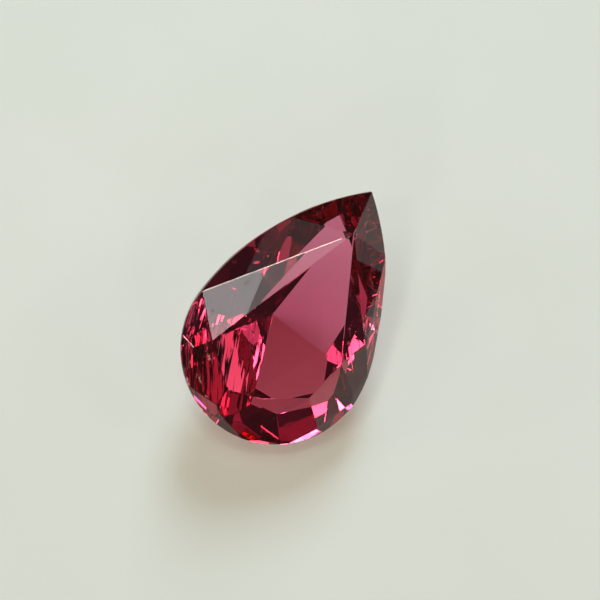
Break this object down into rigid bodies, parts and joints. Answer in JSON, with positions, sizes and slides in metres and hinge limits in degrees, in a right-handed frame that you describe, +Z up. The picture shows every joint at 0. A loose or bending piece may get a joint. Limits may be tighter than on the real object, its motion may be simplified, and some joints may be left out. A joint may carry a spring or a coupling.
{
  "type": "spinel gemstone",
  "caption": "Pear-shaped faceted spinel, clear rose red with a window under the table, lying on a pavilion facet; a loose cut stone for setting or display.",
  "frame": {"origin": "centre of the stone's footprint box, on the plane that it lies on", "axes": "+Z up from that plane; the resting pavilion facet faces -Z; the table faces -Y and up; the tip points to +X and +Y, raised"},
  "size_m": [0.0068, 0.008, 0.0042],
  "materials": {
    "spinel": "polished facets, clear rose red, IOR 1.718"
  },
  "bodies": {
    "root": {"spinel": "spinel"}
  },
  "joints": []
}
